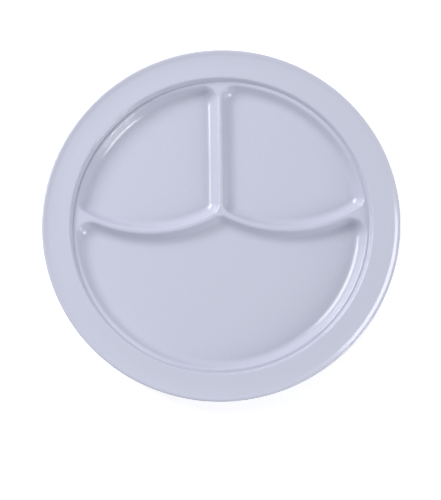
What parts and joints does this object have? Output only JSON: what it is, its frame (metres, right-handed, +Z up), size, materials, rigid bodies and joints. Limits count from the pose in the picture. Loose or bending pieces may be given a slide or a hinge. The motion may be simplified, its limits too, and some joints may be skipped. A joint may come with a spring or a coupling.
{
  "type": "divided compartment plate",
  "caption": "Round moulded dinner plate with a wide rim turned up at its edge, a low step and compartments parted by one straight and two curved dividers.",
  "frame": {"origin": "middle of the rim's circle, on the plane that the foot beads stand on", "axes": "+Z up out of the compartments, +Y from the middle towards the two small compartments, along the straight divider, +X to the right of it"},
  "size_m": [0.26, 0.26, 0.0178],
  "materials": {
    "melamine": "high gloss, as it leaves a polished mould"
  },
  "bodies": {
    "root": {"plate": "melamine"}
  },
  "joints": []
}
